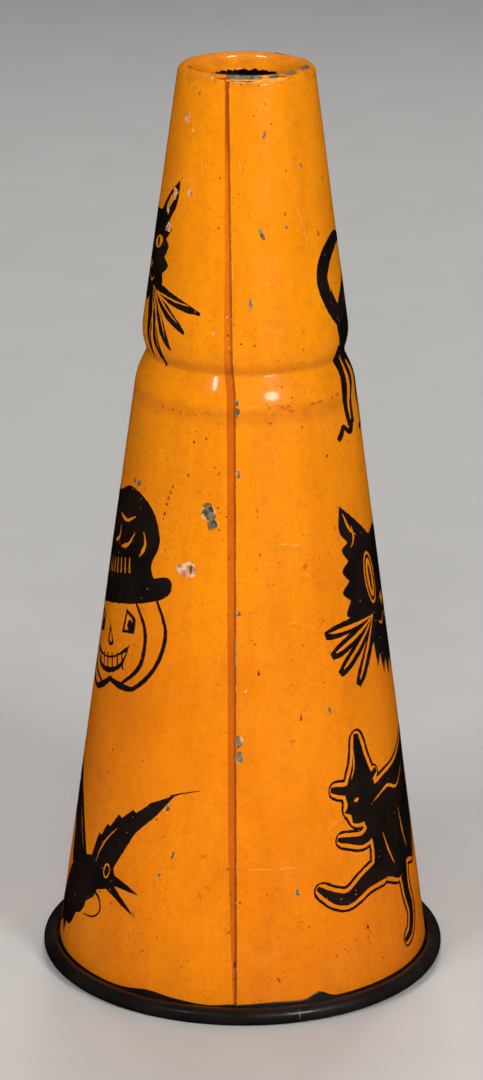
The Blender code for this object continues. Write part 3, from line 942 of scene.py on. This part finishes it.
# Azimuth, height, run across, run up, widest.
PALE_SCRATCHES = (
    (-96.0, 137.7, 0.6, -2.3, 0.16), (-54.7, 129.8, 1.8, -6.8, 0.13), (-80.2, 118.2, 1.3, 0.2, 0.16),
    (-89.5, 99.1, 2.6, 0.1, 0.14), (-51.2, 95.6, 0.6, -1.0, 0.2), (-63.1, 72.6, 0.8, -1.1, 0.16),
    (-72.2, 64.9, 5.4, -1.9, 0.12), (-58.0, 61.4, 0.9, -2.4, 0.14), (-75.6, 77.3, 3.4, -0.3, 0.22),
    (-68.0, 76.9, 2.8, -0.4, 0.18), (-76.9, 45.1, -0.5, -1.9, 0.14), (-88.6, 25.2, 4.2, -0.2, 0.14),
    (-78.0, 25.0, 3.2, -0.1, 0.16), (-76.6, 26.4, 1.2, -1.8, 0.13), (-124.0, 137.0, 0.4, -3.0, 0.12),
    (-101.0, 61.0, 0.3, -4.2, 0.11), (-84.0, 88.0, -0.4, -3.6, 0.11), (-120.0, 47.0, 2.2, -0.8, 0.12),
    (-60.0, 30.0, 2.6, 1.4, 0.12), (-98.5, 122.0, 0.2, -3.4, 0.12), (-70.0, 110.4, 0.7, 0.9, 0.16),
    (20.0, 70.0, 3.4, -1.6, 0.13), (70.0, 40.0, 1.4, -4.4, 0.12), (120.0, 104.0, 2.4, -0.6, 0.12),
    (150.0, 76.0, -1.0, -4.0, 0.12), (105.0, 12.0, 4.0, 0.6, 0.12),
)
BROWN_SMUDGES = (
    (-78.6, 98.9, 3.6, 0.1, 0.5), (-71.6, 98.2, 2.4, -0.1, 0.55), (-66.4, 98.7, 0.6, 0.9, 0.5),
    (-138.0, 97.7, 3.0, -0.1, 0.4), (-126.0, 97.4, 3.4, 0.1, 0.45), (-111.7, 97.8, 1.2, 0.0, 0.4),
    (-56.0, 98.6, 3.0, 0.2, 0.35), (-40.0, 98.8, 2.4, 0.3, 0.4), (20.0, 98.4, 4.0, 0.1, 0.4),
    (95.0, 98.2, 5.0, 0.1, 0.45), (150.0, 98.0, 3.0, 0.1, 0.4), (-104.0, 4.6, 3.0, 0.2, 0.35),
    (-105.6, 26.6, 1.7, 0.6, 0.4), (-103.2, 21.6, 1.1, 0.3, 0.4), (-104.4, 20.9, 0.2, -1.7, 0.4),
    (-79.6, 21.6, 0.9, 0.4, 0.5), (-58.2, 64.6, 0.9, -0.8, 0.7), (-63.6, 72.9, 0.5, 0.9, 0.5),
    (-84.5, 84.0, 0.1, -3.4, 0.2), (-98.8, 108.6, 0.2, -1.6, 0.3), (-72.4, 45.0, 0.7, 0.8, 0.5),
)


def chips_of(look, table, scale, first_seed, out):
    """One flat film for each flake of a table."""
    films = []
    for k, (azimuth, z, size, stretch, turn) in enumerate(table):
        shapes = [chip(0, 0, size * scale, first_seed + k, stretch, turn)]
        films.append(film("flake", shapes, on_wall(azimuth, z), look, out, depth=0.16))
    return films


def lines_of(look, table, widths, bow, out):
    """One film for each slightly bowed line of a table."""
    films = []
    for azimuth, z, across, up, widest in table:
        middle = (across / 2 - up * bow, up / 2 + across * bow)
        line = stroke([(0, 0), middle, (across, up)], [share * widest for share in widths])
        films.append(film("line", [line], on_wall(azimuth, z), look, out, depth=0.12))
    return films


def join_films(name, films):
    """Several small films as one piece."""
    points = []
    faces = []
    for obj in films:
        start = len(points)
        points += [tuple(v.co) for v in obj.data.vertices]
        faces += [tuple(start + i for i in face.vertices) for face in obj.data.polygons]
        look = obj.data.materials[0]
        bpy.data.objects.remove(obj)
    joined = new_object(name, points, faces, [look], smooth_angle=50)
    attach(joined, "horn")


def make_wear(primer, metal, flake_edge, brown, smudge, pale):
    """Flaked, scratched and smudged paint, and a pale rubbed band on the lip that is also a painted
    highlight.
    """
    primers = chips_of(primer, PRIMER_CHIPS, 1.0, 40, CHIP_FILM)
    metals = chips_of(metal, BARE_CHIPS, 1.0, 3, CHIP_FILM)
    edges = chips_of(flake_edge, BARE_CHIPS, 1.2, 23, INK_FILM)
    spots = chips_of(brown, BROWN_SPOTS, 0.75, 70, CHIP_FILM)
    smudges = lines_of(smudge, BROWN_SMUDGES, [0.4, 1.4, 1.9, 1.0, 1.6, 0.4], 0.01, SMUDGE_FILM)
    scratches = lines_of(pale, PALE_SCRATCHES, [0.3, 1.0, 0.6, 0.9, 0.2], 0.04, SMUDGE_FILM)
    patch = stroke([(-2.4, 0.7), (-0.8, 0.75), (0.8, 0.6), (2.4, 0.6)], [1.2, 2.1, 1.9, 0.8])
    # The rubbed band on the lip's front is worn paint and a painted highlight: a paler orange where the
    # lip's sheen falls.
    rubbed = stroke([(-4.6, 1.3), (-1.5, 1.45), (1.5, 1.4), (4.5, 1.25)], [0.2, 0.7, 0.8, 0.8, 0.2])
    lip_wear = [
        (-91, [patch], metal),
        (-65, [stroke([(-0.9, 0.5), (0.8, 0.4)], [0.5, 1.2, 0.6])], metal),
        (-46, [stroke([(-1.3, 0.3), (1.2, 0.2)], [0.5, 1.1, 0.7])], metal),
        (-18, [stroke([(-1.8, 0.2), (0.0, 0.0), (1.8, -0.1)], [0.4, 1.0, 1.1, 0.4])], metal),
        (60, [stroke([(-0.8, 0.0), (0.7, 0.2)], [0.2, 0.5, 0.2])], metal),
        (52, [chip(0, -0.2, 0.3, 8)], metal),
        (-160, [stroke([(-0.9, -0.3), (0.9, -0.2)], [0.2, 0.4, 0.2])], brown),
        (-140, [stroke([(-0.7, -0.2), (0.7, -0.3)], [0.2, 0.35, 0.2])], brown),
        (-128, [chip(0, 1.1, 0.24, 5)], primer),
        (-120, [chip(0, 1.2, 0.22, 6)], primer),
        # Worn paint and a painted highlight along the lip's front.
        (-80, [rubbed], pale),
        (-62, [stroke([(-1.4, 1.0), (1.2, 0.9)], [0.15, 0.3, 0.15])], brown),
        (-108, [stroke([(-1.2, 1.1), (0.6, 1.2)], [0.1, 0.25, 0.15])], brown),
    ]
    for azimuth, shapes, look in lip_wear:
        into = {metal: metals, primer: primers, pale: scratches, brown: spots}[look]
        into.append(film("flake", shapes, on_lip(azimuth), look, CHIP_FILM, pitch=0.3, depth=0.14))
    joint = [stroke([(0, -0.4), (0.1, 0.5), (0, 1.3)], [0.1, 0.22, 0.1])]
    metals.append(film("joint", joint, on_bead(-74), metal, INK_FILM))
    join_films("paint_chips_primer", primers)
    join_films("paint_chips_metal", metals)
    join_films("paint_chip_edges", edges)
    join_films("brown_spots", spots)
    join_films("brown_smudges", smudges)
    join_films("pale_scratches_and_painted_sheen", scratches)


# ---------------------------------------------------------------- materials


class Look:
    """A material and the few kinds of node that these looks are made from."""

    def __init__(self, name, roughness=0.4, metallic=0.0, specular=0.5, coat=0.0):
        self.material = bpy.data.materials.new(name)
        self.material.use_nodes = True
        self.tree = self.material.node_tree
        self.shader = self.tree.nodes["Principled BSDF"]
        self.shader.inputs["Roughness"].default_value = roughness
        self.shader.inputs["Metallic"].default_value = metallic
        self.shader.inputs["Specular IOR Level"].default_value = specular
        self.shader.inputs["Coat Weight"].default_value = coat
        self.shader.inputs["Coat Roughness"].default_value = 0.09
        self.place = self.node("ShaderNodeTexCoord").outputs["Object"]

    def node(self, kind, **settings):
        made = self.tree.nodes.new(kind)
        for key, value in settings.items():
            setattr(made, key, value)
        return made

    def put(self, value, socket):
        if isinstance(value, bpy.types.NodeSocket):
            self.tree.links.new(value, socket)
        elif socket.type == "RGBA":
            socket.default_value = (*value, 1)
        else:
            socket.default_value = value

    def stretched(self, scale):
        mapping = self.node("ShaderNodeMapping")
        self.put(self.place, mapping.inputs["Vector"])
        mapping.inputs["Scale"].default_value = scale
        return mapping.outputs["Vector"]

    def noise(self, scale, detail=4.0, rough=0.55, place=None, warp=0.0):
        made = self.node("ShaderNodeTexNoise")
        self.put(place or self.place, made.inputs["Vector"])
        made.inputs["Scale"].default_value = scale
        made.inputs["Detail"].default_value = detail
        made.inputs["Roughness"].default_value = rough
        made.inputs["Distortion"].default_value = warp
        return made.outputs["Fac"]

    def cells(self, scale):
        """The distance to the nearest of scattered points, and that point's own number."""
        made = self.node("ShaderNodeTexVoronoi")
        self.put(self.place, made.inputs["Vector"])
        made.inputs["Scale"].default_value = scale
        parts = self.node("ShaderNodeSeparateColor")
        self.put(made.outputs["Color"], parts.inputs[0])
        return made.outputs["Distance"], parts.outputs[0]

    def maths(self, kind, first, second=0.0, clamp=False):
        made = self.node("ShaderNodeMath", operation=kind, use_clamp=clamp)
        self.put(first, made.inputs[0])
        self.put(second, made.inputs[1])
        return made.outputs[0]

    def ramp(self, value, low, high, start=0.0, end=1.0):
        """start where the value is under low, end where it is over high."""
        made = self.node("ShaderNodeMapRange", interpolation_type="SMOOTHSTEP")
        self.put(value, made.inputs["Value"])
        made.inputs["From Min"].default_value = low
        made.inputs["From Max"].default_value = high
        made.inputs["To Min"].default_value = start
        made.inputs["To Max"].default_value = end
        return made.outputs["Result"]

    def mix(self, share, first, second):
        made = self.node("ShaderNodeMix", data_type="RGBA")
        self.put(share, made.inputs["Factor"])
        self.put(first, made.inputs[6])
        self.put(second, made.inputs[7])
        return made.outputs[2]

    def patches(self, value, low, high, first, second):
        """Two colours, each where the value is low or high."""
        return self.mix(self.ramp(value, low, high), first, second)

    def tint(self, color, mask, share, tone):
        """A share of another tone laid on where the mask is."""
        return self.mix(self.maths("MULTIPLY", mask, share), color, tone)

    def total(self, *parts):
        """The sum of values, each times its share, kept between 0 and 1."""
        found = 0.0
        for value, share in parts:
            found = self.maths("ADD", found, self.maths("MULTIPLY", value, share))
        return self.maths("ADD", found, 0.0, clamp=True)

    def zone(self, rise_low, rise_high, fall_low, fall_high):
        """1 between a rise and a fall in height, 0 past them."""
        rise = self.ramp(self.height(), rise_low, rise_high)
        return self.maths("MULTIPLY", rise, self.ramp(self.height(), fall_low, fall_high, 1.0, 0.0))

    def height(self):
        parts = self.node("ShaderNodeSeparateXYZ")
        self.put(self.place, parts.inputs[0])
        return parts.outputs["Z"]

    def specks(self, scale, size, share):
        """Small round marks: how much of the surface's points carry one is share."""
        distance, number = self.cells(scale)
        mark = self.ramp(distance, size * 0.5, size, 1.0, 0.0)
        return self.maths("MULTIPLY", mark, self.ramp(number, 1 - share, 1.01 - share))

    def finish(self, color, roughness=None, metallic=None, relief=None, depth=0.0):
        self.put(color, self.shader.inputs["Base Color"])
        if roughness is not None:
            self.put(roughness, self.shader.inputs["Roughness"])
        if metallic is not None:
            self.put(metallic, self.shader.inputs["Metallic"])
        if relief is not None:
            bump = self.node("ShaderNodeBump")
            bump.inputs["Strength"].default_value = 1.0
            bump.inputs["Distance"].default_value = depth * MM
            self.put(relief, bump.inputs["Height"])
            self.put(bump.outputs["Normal"], self.shader.inputs["Normal"])
        return self.material


def sheet_grime_and_shade(look):
    """How grimy the sheet is: in the groove, on the shoulder, at both rims, in blotches. In the groove and
    at the shoulder's lower edge this is also painted shade.
    """
    blotch = look.ramp(look.noise(75, 6.0, 0.7, warp=1.2), 0.54, 0.74)
    # The steady share added to the blotches here is a painted shadow line along the shoulder's lower edge.
    shoulder = look.maths("MULTIPLY", look.zone(*SHOULDER_GRIME_AND_SHADE), look.maths("ADD", blotch, 0.5))
    rubbed = look.ramp(look.noise(230, 5.0, 0.7), 0.5, 0.62)
    lip = look.maths("MULTIPLY", look.ramp(look.height(), *LIP_GRIME), rubbed)
    foot = look.ramp(look.height(), *FOOT_GRIME, 1.0, 0.0)
    # The groove's zone is grime and painted shade in the crease.
    return look.total(
        (look.zone(*GROOVE_GRIME_AND_SHADE), 0.6), (shoulder, 1.0), (lip, 0.5), (foot, 0.35), (blotch, 0.3)
    )


def printed_look(name, light, deep, dirt_and_shade, pale, upper=None, top=None, painted_top_light=None):
    """Lithographed enamel: mottled, speckled, and grimy in the groove and at the bead, with painted shade
    in the groove and at the shoulder's lower edge.

    Above the groove it turns to the upper colour, and near the mouth to the top one.
    It nears a lighter colour slowly with height, a painted lightening towards the top.
    """
    look = Look(name, specular=0.1, coat=0.3)
    color = look.patches(look.noise(38, 3.0), 0.35, 0.68, light, deep)
    z = look.height()
    if upper:
        color = look.patches(z, 0.1035, 0.1065, color, upper)
        color = look.patches(z, 0.1345, 0.1425, color, top)
    # Painted light: the colour grows lighter towards the top.
    if painted_top_light:
        color = look.mix(look.ramp(z, 0.03, 0.12, 0.0, 0.6), color, painted_top_light)
    streaks = look.noise(260, 5.0, 0.65, look.stretched((1.0, 1.0, 0.12)))
    color = look.tint(color, look.ramp(streaks, 0.3, 0.75), 0.2, dirt_and_shade)
    haze = look.ramp(look.noise(85, 5.0, 0.6, warp=1.5), 0.56, 0.74)
    color = look.tint(color, haze, 0.2, pale)
    color = look.tint(color, look.ramp(look.noise(1500, 2.0), 0.3, 0.7), 0.13, dirt_and_shade)
    # Grime and painted shade darken the colour in the groove and at the shoulder's lower edge.
    grime = sheet_grime_and_shade(look)
    color = look.tint(color, grime, 0.5, dirt_and_shade)
    fine = look.maths("MULTIPLY", look.specks(950, 0.16, 0.8), 0.75)
    marks = look.maths("MAXIMUM", look.specks(520, 0.13, 0.55), fine)
    marks = look.maths("MULTIPLY", marks, look.ramp(look.noise(70, 3.0), 0.4, 0.62, 0.2, 1.0))
    color = look.tint(color, marks, 0.95, SPECK_BROWN)
    color = look.tint(color, look.specks(800, 0.13, 0.3), 0.5, pale)
    color = look.tint(color, look.ramp(look.noise(620, 3.0, 0.6), 0.45, 0.7), 0.12, dirt_and_shade)
    rough = look.ramp(look.noise(120, 5.0), 0.3, 0.75, 0.24, 0.42)
    rough = look.maths("ADD", rough, look.maths("MULTIPLY", grime, 0.18))
    rough = look.maths("ADD", rough, look.ramp(z, *LIP_GRIME, 0.0, 0.15))
    relief = look.maths("ADD", look.noise(420, 3.0), look.maths("MULTIPLY", marks, -0.6))
    return look.finish(color, rough, relief=relief, depth=0.02)


def ink_look():
    look = Look("litho_ink_black", specular=0.1, coat=0.22)
    color = look.patches(look.noise(160), 0.3, 0.7, (0.007, 0.005, 0.004), (0.016, 0.009, 0.007))
    color = look.mix(look.specks(800, 0.14, 0.35), color, (0.5, 0.13, 0.01))
    rough = look.ramp(look.noise(200, 5.0), 0.3, 0.7, 0.22, 0.38)
    return look.finish(color, rough, relief=look.noise(420, 3.0), depth=0.02)


def enamel_look():
    """Dipped black enamel, dusty and rubbed."""
    look = Look("dipped_enamel_black", specular=0.2, coat=0.12)
    color = look.patches(look.noise(90, 5.0), 0.3, 0.7, (0.006, 0.005, 0.005), (0.016, 0.012, 0.010))
    scuff = look.ramp(look.noise(900, 6.0, 0.7, look.stretched((1, 1, 0.4))), 0.62, 0.74)
    color = look.tint(color, scuff, 0.4, (0.10, 0.07, 0.055))
    rough = look.ramp(look.noise(300, 5.0), 0.3, 0.7, 0.26, 0.45)
    return look.finish(color, rough, relief=look.noise(240, 5.0), depth=0.06)


def tin_look(name, clean, dull, rust_share):
    """Bare tinplate with spangle, stain and rust."""
    look = Look(name, metallic=1.0)
    color = look.patches(look.noise(140, 5.0), 0.3, 0.7, clean, dull)
    color = look.tint(color, look.cells(420)[1], 0.18, (0.75, 0.75, 0.72))
    rusty = look.ramp(look.noise(95, 7.0, 0.7), 0.72 - rust_share, 0.84 - rust_share)
    color = look.mix(rusty, color, (0.11, 0.045, 0.02))
    rough = look.ramp(look.noise(380, 4.0), 0.3, 0.7, 0.28, 0.45)
    rough = look.maths("ADD", rough, look.maths("MULTIPLY", rusty, 0.3))
    metal = look.maths("SUBTRACT", 0.95, look.maths("MULTIPLY", rusty, 0.8))
    return look.finish(color, rough, metal, relief=look.noise(600, 4.0), depth=0.02)


def brass_look():
    look = Look("aged_brass", metallic=1.0)
    color = look.patches(look.noise(300, 5.0), 0.3, 0.7, (0.72, 0.5, 0.2), (0.42, 0.26, 0.09))
    tarnish = look.ramp(look.noise(700, 6.0, 0.7), 0.55, 0.75)
    color = look.tint(color, tarnish, 0.6, (0.16, 0.1, 0.05))
    brushed = look.noise(2600, 3.0, place=look.stretched((1, 0.08, 1)))
    rough = look.ramp(brushed, 0.3, 0.7, 0.25, 0.42)
    return look.finish(color, rough, relief=brushed, depth=0.01)


def wire_look():
    look = Look("drawn_steel_wire", metallic=1.0)
    color = look.patches(look.noise(500, 5.0), 0.35, 0.65, (0.4, 0.39, 0.38), (0.2, 0.15, 0.11))
    rough = look.ramp(look.noise(1500, 3.0), 0.3, 0.7, 0.35, 0.6)
    return look.finish(color, rough, relief=look.noise(1800, 3.0), depth=0.02)


def worn_metal_look():
    look = Look("worn_metal_grey", metallic=0.25)
    grain = look.noise(900, 6.0, 0.7)
    color = look.patches(grain, 0.4, 0.6, (0.29, 0.24, 0.15), (0.075, 0.06, 0.035))
    rough = look.ramp(look.noise(800), 0.3, 0.7, 0.4, 0.65)
    return look.finish(color, rough, relief=look.noise(1500, 4.0), depth=0.04)


def seam_edge_look():
    """The rubbed edge of the upper sheet: lacquer, darker at the foot, with bare metal."""
    look = Look("seam_edge", specular=0.3)
    bare = look.ramp(look.noise(260, 6.0, 0.75, look.stretched((1, 1, 0.5))), 0.56, 0.62)
    color = look.patches(look.noise(500), 0.35, 0.65, (0.24, 0.05, 0.004), (0.52, 0.11, 0.004))
    color = look.mix(look.ramp(look.height(), 0.02, 0.034, 1.0, 0.0), color, (0.13, 0.03, 0.006))
    dots = look.specks(1500, 0.35, 0.6)
    color = look.mix(look.maths("MAXIMUM", bare, dots), color, (0.30, 0.26, 0.18))
    return look.finish(color, 0.5)


def matt_look(name, specular, grain, spread, colors, depth, rough=(0.5, 0.75)):
    """Dull paint or grime in patches of two colours."""
    look = Look(name, specular=specular)
    color = look.patches(look.noise(*grain), *spread, *colors)
    rough = look.ramp(look.noise(700), 0.3, 0.7, *rough)
    return look.finish(color, rough, relief=look.noise(1600, 4.0), depth=depth)


def primer_look():
    """The pale ground coat that shows where the orange has flaked off."""
    colors = ((0.82, 0.53, 0.30), (0.50, 0.17, 0.06))
    return matt_look("primer_cream", 0.25, (900, 5.0), (0.35, 0.65), colors, 0.05)


def brown_look():
    """Rusty spots and rubbed grime."""
    colors = ((0.11, 0.02, 0.006), (0.34, 0.07, 0.008))
    return matt_look("brown_grime", 0.1, (900, 5.0), (0.35, 0.65), colors, 0.03)


def smudge_look():
    """Grime thin enough for the orange to show through."""
    colors = ((0.84, 0.215, 0.004), (0.48, 0.115, 0.008))
    return matt_look("brown_smudge", 0.1, (1200, 5.0, 0.7), (0.42, 0.6), colors, 0.02, (0.35, 0.6))


def pale_look():
    """Scratches that have dulled the orange without going through it, and the lip's rubbed band, which is
    also a painted highlight.
    """
    colors = ((0.95, 0.37, 0.07), (0.92, 0.27, 0.02))
    return matt_look("scratched_orange_and_painted_sheen", 0.15, (1400, 5.0), (0.4, 0.6), colors, 0.02)


def flake_edge_look():
    """The broken edge of the orange round a chip."""
    colors = ((0.24, 0.07, 0.015), (0.72, 0.40, 0.15))
    return matt_look("flake_edge", 0.15, (1100, 4.0), (0.42, 0.58), colors, 0.04)


def floor_look():
    look = Look("pale_floor", roughness=0.7, specular=0.2)
    color = look.patches(look.noise(40, 4.0), 0.3, 0.7, (0.61, 0.60, 0.59), (0.63, 0.62, 0.61))
    return look.finish(color)


# ---------------------------------------------------------------- stage


def add_camera():
    data = bpy.data.cameras.new("camera")
    data.lens = CAMERA_LENS
    data.sensor_width = 36
    camera = bpy.data.objects.new("camera", data)
    bpy.context.scene.collection.objects.link(camera)
    tilt = Matrix.Rotation(math.pi / 2 - math.radians(CAMERA_DOWN), 4, "X")
    roll = Matrix.Rotation(math.radians(CAMERA_ROLL), 4, "Z")
    camera.matrix_world = Matrix.Translation(CAMERA_PLACE) @ tilt @ roll
    bpy.context.scene.camera = camera


def add_light(name, direction, distance, size, watts, aim=(0, 0, 0.1), glossy=True):
    data = bpy.data.lights.new(name, "AREA")
    data.shape = "DISK"
    data.size = size
    data.energy = watts
    data.color = LAMP_COLOR
    light = bpy.data.objects.new(name, data)
    bpy.context.scene.collection.objects.link(light)
    away = Vector(direction).normalized()
    light.visible_glossy = glossy
    light.location = Vector(aim) + away * distance
    light.rotation_euler = away.to_track_quat("Z", "Y").to_euler()


def add_stage():
    reach = FLOOR_REACH
    floor = new_object(
        "floor",
        [(-reach, -reach, 0), (reach, -reach, 0), (reach, reach, 0), (-reach, reach, 0)],
        [(0, 1, 2, 3)],
        [floor_look()],
    )
    floor.location.z = -FLOOR_GAP
    floor.visible_glossy = False
    world = bpy.data.worlds.new("studio")
    world.use_nodes = True
    background = world.node_tree.nodes["Background"]
    background.inputs["Color"].default_value = WORLD_COLOR
    background.inputs["Strength"].default_value = WORLD_STRENGTH
    world.cycles_visibility.glossy = False
    bpy.context.scene.world = world
    bpy.context.scene.view_settings.view_transform = "Standard"
    add_light("key", (0.518, -0.772, 0.368), 0.75, 0.19, 2.9)
    add_light("second", (-0.487, -0.692, 0.533), 0.85, 0.06, 0.5)
    add_light("second_fill", (-0.60, -0.60, 0.53), 0.85, 0.3, 2.1, glossy=False)
    add_light("front", (0.0, -0.90, 0.44), 1.0, 0.5, 2.5, glossy=False)
    add_light("back", (0.1, 0.75, 0.65), 1.0, 0.4, 2.6, glossy=False)
    mouth = (0, 0.008, 0.149)
    add_light("top_right", (0.127, 0.554, 0.822), 0.7, 0.06, 0.4, mouth)
    add_light("top_left", (-0.119, 0.551, 0.826), 0.7, 0.06, 0.4, mouth)


def dress_cad_nodes(tin, brass, wire):
    looks = {
        "rim_wire": wire,
        "reed_disc": tin,
        "reed_plate": brass,
        "reed_tongue": brass,
        "tongue_rivet_left": brass,
        "tongue_rivet_right": brass,
        "plate_rivet_front": brass,
        "plate_rivet_back": brass,
    }
    for node, look in looks.items():
        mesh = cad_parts[node].data
        mesh.materials.clear()
        mesh.materials.append(look)


def main():
    add_camera()
    add_stage()
    orange = printed_look("litho_orange", *ORANGE, painted_top_light=ORANGE_PAINTED_TOP_LIGHT)
    band = printed_look("litho_orange_deep", *BAND, upper=BAND_UPPER, top=BAND_TOP)
    inside = tin_look("tinplate_inside", (0.42, 0.40, 0.35), (0.26, 0.24, 0.2), 0.06)
    disc = tin_look("tinplate_disc", (0.5, 0.49, 0.46), (0.34, 0.33, 0.3), 0.02)
    metal = worn_metal_look()
    make_sheet(orange, band, seam_edge_look(), inside, metal)
    make_enamel(enamel_look())
    make_prints(ink_look())
    make_wear(primer_look(), metal, flake_edge_look(), brown_look(), smudge_look(), pale_look())
    dress_cad_nodes(disc, brass_look(), wire_look())


main()
